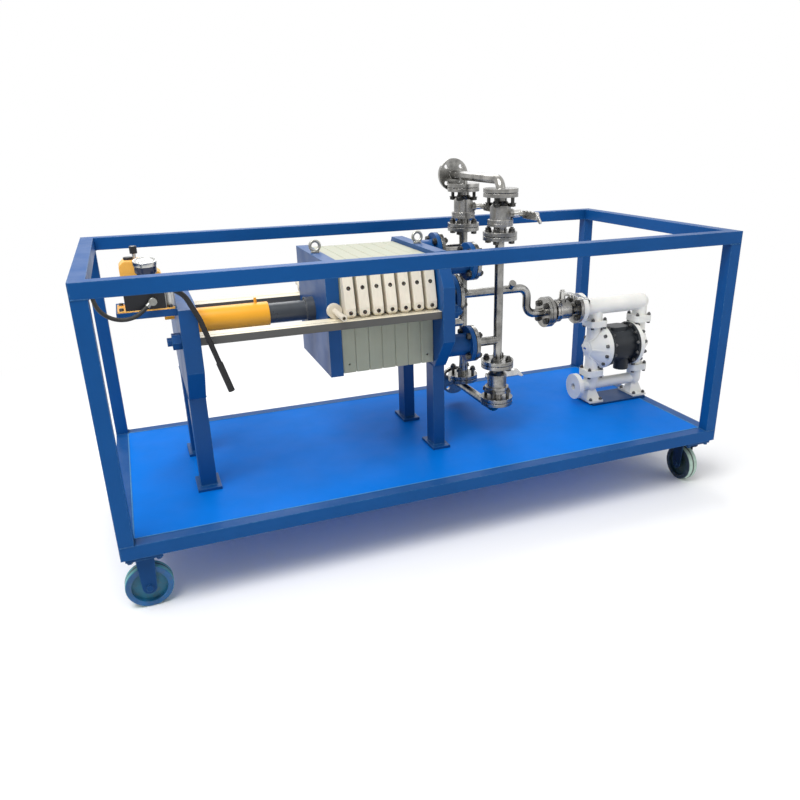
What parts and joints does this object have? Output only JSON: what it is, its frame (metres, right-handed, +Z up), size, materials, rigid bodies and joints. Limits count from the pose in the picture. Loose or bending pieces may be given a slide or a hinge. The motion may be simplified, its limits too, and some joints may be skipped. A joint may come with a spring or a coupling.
{
  "type": "plate filter press on a wheeled frame",
  "caption": "Small plate filter press on a wheeled blue tube frame, with closing cylinder, hand pump, diaphragm feed pump and flanged pipework.",
  "frame": {"origin": "on the floor under the centre of the frame, between the wheels", "axes": "+X along the frame from the closing cylinder to the feed pump, +Y across it away from the side that the picture shows, +Z up"},
  "size_m": [2.514, 1.105, 1.4264],
  "materials": {
    "bar_cream": "satin paint",
    "caster_blue": "gloss paint",
    "cylinder_yellow": "gloss paint",
    "deck_blue": "gloss paint",
    "frame_blue": "gloss paint",
    "gasket_black": "matte",
    "hose_black": "matte",
    "plate_white": "satin",
    "plunger_black": "satin",
    "press_blue": "gloss paint",
    "pump_black": "satin",
    "pump_white": "satin",
    "roller_ivory": "satin",
    "stainless": "brushed",
    "tank_orange": "gloss paint",
    "wheel_green": "satin",
    "zinc_steel": "bright"
  },
  "bodies": {
    "frame": {"bar_nuts": "press_blue", "corner_posts": "frame_blue", "cross_rails": "frame_blue", "cylinder_barrel": "cylinder_yellow", "deck": "deck_blue", "deck_bearers": "frame_blue", "discharge_manifold": "pump_white", "drain_manifold": "stainless", "end_beam": "press_blue", "end_legs": "press_blue", "far_riser": "stainless", "feed_pipe": "stainless", "fixed_head": "press_blue", "flange_gaskets": "gasket_black", "hand_pump_head": "pump_black", "hand_pump_tank": "tank_orange", "head_eye": "zinc_steel", "head_legs": "press_blue", "head_ports": "press_blue", "hose": "hose_black", "hose_fitting": "zinc_steel", "long_rails": "frame_blue", "near_riser": "stainless", "pressure_gauge": "zinc_steel", "pump_base": "frame_blue", "pump_bracket": "press_blue", "pump_centre": "pump_black", "pump_left_chamber": "pump_white", "pump_right_chamber": "pump_white", "rail_caps": "frame_blue", "rigid_casters": "caster_blue", "side_bars": "bar_cream", "suction_manifold": "pump_white", "swivel_plates": "caster_blue", "top_manifold": "stainless", "valve_bodies": "stainless"},
    "follower": {"plunger": "plunger_black", "follower_plate": "press_blue", "follower_eye": "zinc_steel", "follower_rollers": "roller_ivory"},
    "front_swivel": {"swivel_fork_front": "caster_blue"},
    "back_swivel": {"swivel_fork_back": "caster_blue"},
    "left_front_wheel": {"rigid_wheel_front": "wheel_green"},
    "left_back_wheel": {"rigid_wheel_back": "wheel_green"},
    "right_front_wheel": {"swivel_wheel_front": "wheel_green"},
    "right_back_wheel": {"swivel_wheel_back": "wheel_green"},
    "near_top_valve_lever": {"near_top_lever": "stainless"},
    "far_top_valve_lever": {"far_top_lever": "stainless"},
    "drain_valve_lever": {"drain_lever": "stainless"},
    "feed_valve_lever": {"feed_lever": "stainless"},
    "hand_lever": {"hand_pump_lever": "pump_black"},
    "plate_1": {"filter_plate_1": "plate_white"},
    "plate_2": {"filter_plate_2": "plate_white"},
    "plate_3": {"filter_plate_3": "plate_white"},
    "plate_4": {"filter_plate_4": "plate_white"},
    "plate_5": {"filter_plate_5": "plate_white"},
    "plate_6": {"filter_plate_6": "plate_white"},
    "plate_7": {"filter_plate_7": "plate_white"}
  },
  "joints": [
    {"name": "follower_slide", "type": "slide", "parent": "frame", "child": "follower", "axis": [-1, 0, 0], "range_m": [0, 0.14]},
    {"name": "plate_1_slide", "type": "slide", "parent": "frame", "child": "plate_1", "axis": [-1, 0, 0], "range_m": [0, 0.0175]},
    {"name": "plate_2_slide", "type": "slide", "parent": "frame", "child": "plate_2", "axis": [-1, 0, 0], "range_m": [0, 0.035]},
    {"name": "plate_3_slide", "type": "slide", "parent": "frame", "child": "plate_3", "axis": [-1, 0, 0], "range_m": [0, 0.0525]},
    {"name": "plate_4_slide", "type": "slide", "parent": "frame", "child": "plate_4", "axis": [-1, 0, 0], "range_m": [0, 0.07]},
    {"name": "plate_5_slide", "type": "slide", "parent": "frame", "child": "plate_5", "axis": [-1, 0, 0], "range_m": [0, 0.0875]},
    {"name": "plate_6_slide", "type": "slide", "parent": "frame", "child": "plate_6", "axis": [-1, 0, 0], "range_m": [0, 0.105]},
    {"name": "plate_7_slide", "type": "slide", "parent": "frame", "child": "plate_7", "axis": [-1, 0, 0], "range_m": [0, 0.1225]},
    {"name": "left_front_wheel_spin", "type": "hinge", "parent": "frame", "child": "left_front_wheel", "pos_m": [-1.178, -0.4885, 0.08], "axis": [0, 1, 0], "continuous": true},
    {"name": "left_back_wheel_spin", "type": "hinge", "parent": "frame", "child": "left_back_wheel", "pos_m": [-1.178, 0.4885, 0.08], "axis": [0, 1, 0], "continuous": true},
    {"name": "front_caster_swivel", "type": "hinge", "parent": "frame", "child": "front_swivel", "pos_m": [1.178, -0.4885, 0.12], "axis": [0, 0, 1], "continuous": true},
    {"name": "back_caster_swivel", "type": "hinge", "parent": "frame", "child": "back_swivel", "pos_m": [1.178, 0.4885, 0.12], "axis": [0, 0, 1], "continuous": true},
    {"name": "right_front_wheel_spin", "type": "hinge", "parent": "front_swivel", "child": "right_front_wheel", "pos_m": [1.178, -0.4465, 0.08], "axis": [1, 0, 0], "continuous": true},
    {"name": "right_back_wheel_spin", "type": "hinge", "parent": "back_swivel", "child": "right_back_wheel", "pos_m": [1.178, 0.4465, 0.08], "axis": [1, 0, 0], "continuous": true},
    {"name": "near_top_valve_turn", "type": "hinge", "parent": "frame", "child": "near_top_valve_lever", "pos_m": [0.333, -0.177, 1.224], "axis": [1, 0, 0], "range_deg": [0, 90]},
    {"name": "far_top_valve_turn", "type": "hinge", "parent": "frame", "child": "far_top_valve_lever", "pos_m": [0.333, 0.177, 1.224], "axis": [1, 0, 0], "range_deg": [0, 90]},
    {"name": "drain_valve_turn", "type": "hinge", "parent": "frame", "child": "drain_valve_lever", "pos_m": [0.333, -0.177, 0.515], "axis": [0, -1, 0], "range_deg": [0, 90]},
    {"name": "feed_valve_turn", "type": "hinge", "parent": "frame", "child": "feed_valve_lever", "pos_m": [0.759, 0, 0.752], "axis": [0, 0, 1], "range_deg": [0, 90]},
    {"name": "hand_lever_swing", "type": "hinge", "parent": "frame", "child": "hand_lever", "pos_m": [-0.966, -0.33, 1.073], "axis": [0, -1, 0], "range_deg": [0, 60]}
  ],
  "couplings": [
    {"joint": "plate_1_slide", "follows": "follower_slide", "ratio": 0.125},
    {"joint": "plate_2_slide", "follows": "follower_slide", "ratio": 0.25},
    {"joint": "plate_3_slide", "follows": "follower_slide", "ratio": 0.375},
    {"joint": "plate_4_slide", "follows": "follower_slide", "ratio": 0.5},
    {"joint": "plate_5_slide", "follows": "follower_slide", "ratio": 0.625},
    {"joint": "plate_6_slide", "follows": "follower_slide", "ratio": 0.75},
    {"joint": "plate_7_slide", "follows": "follower_slide", "ratio": 0.875}
  ]
}
